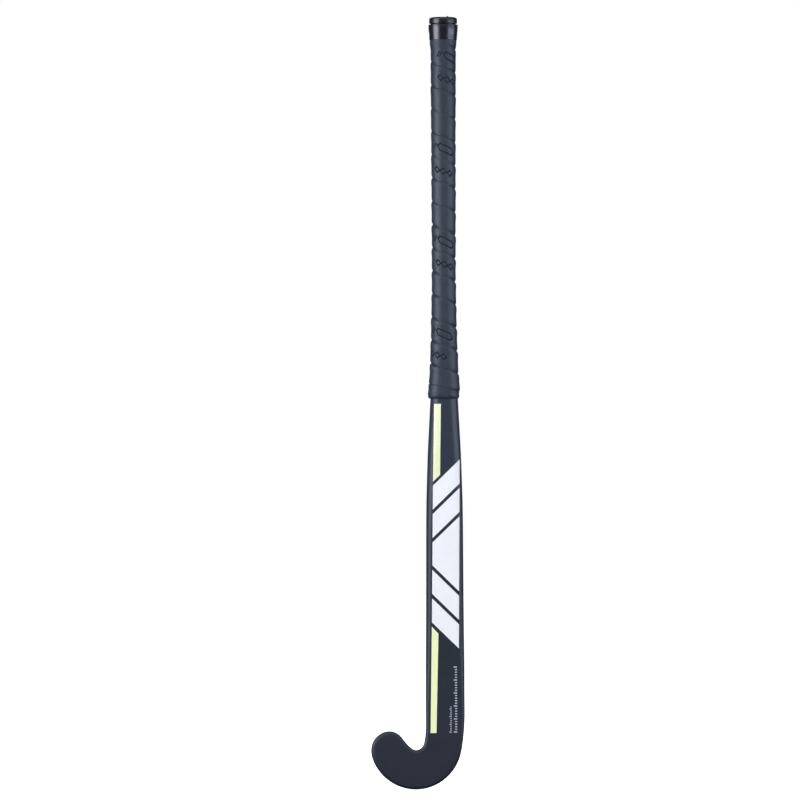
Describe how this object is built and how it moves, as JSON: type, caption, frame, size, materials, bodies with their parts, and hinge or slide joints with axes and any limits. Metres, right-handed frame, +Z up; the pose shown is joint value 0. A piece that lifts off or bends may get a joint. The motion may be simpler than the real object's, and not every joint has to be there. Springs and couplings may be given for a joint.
{
  "type": "field hockey stick",
  "caption": "Composite field hockey stick with a J-shaped hook, bowed flat-faced shaft, helically wrapped cushion grip, taped butt cap and striped face markings.",
  "frame": {"origin": "middle of the grip, on the handle's axis", "axes": "+Z up the stick towards the butt cap, -Y the way the flat playing face looks, -X the way the toe of the hook points"},
  "size_m": [0.1125, 0.0497, 0.9267],
  "materials": {
    "graphite_lacquer": "satin",
    "inner_ply": "matte",
    "core_foam": "matte",
    "aramid_ply": "matte",
    "plug_foam": "matte",
    "cap_black": "gloss",
    "pvc_tape": "gloss",
    "underlay_foam": "matte",
    "grip_pu": "satin",
    "lime_film": "satin",
    "white_film": "satin",
    "grey_film": "satin"
  },
  "bodies": {
    "root": {"butt_cap": "cap_black", "face_bar_1": "white_film", "face_bar_2": "white_film", "face_bar_3": "white_film", "face_bar_4": "white_film", "face_bar_5": "white_film", "finishing_tape": "pvc_tape", "grip_end_wrap": "grip_pu", "grip_tape": "grip_pu", "grip_underlay": "underlay_foam", "handle_plug": "plug_foam", "head_core": "core_foam", "head_face_plies": "aramid_ply", "inner_tube_heel_side": "inner_ply", "inner_tube_toe_side": "inner_ply", "outer_laminate": "graphite_lacquer", "stripe_lower": "lime_film", "stripe_upper": "lime_film", "tick_rule_long": "grey_film", "tick_rule_short": "grey_film"}
  },
  "joints": []
}
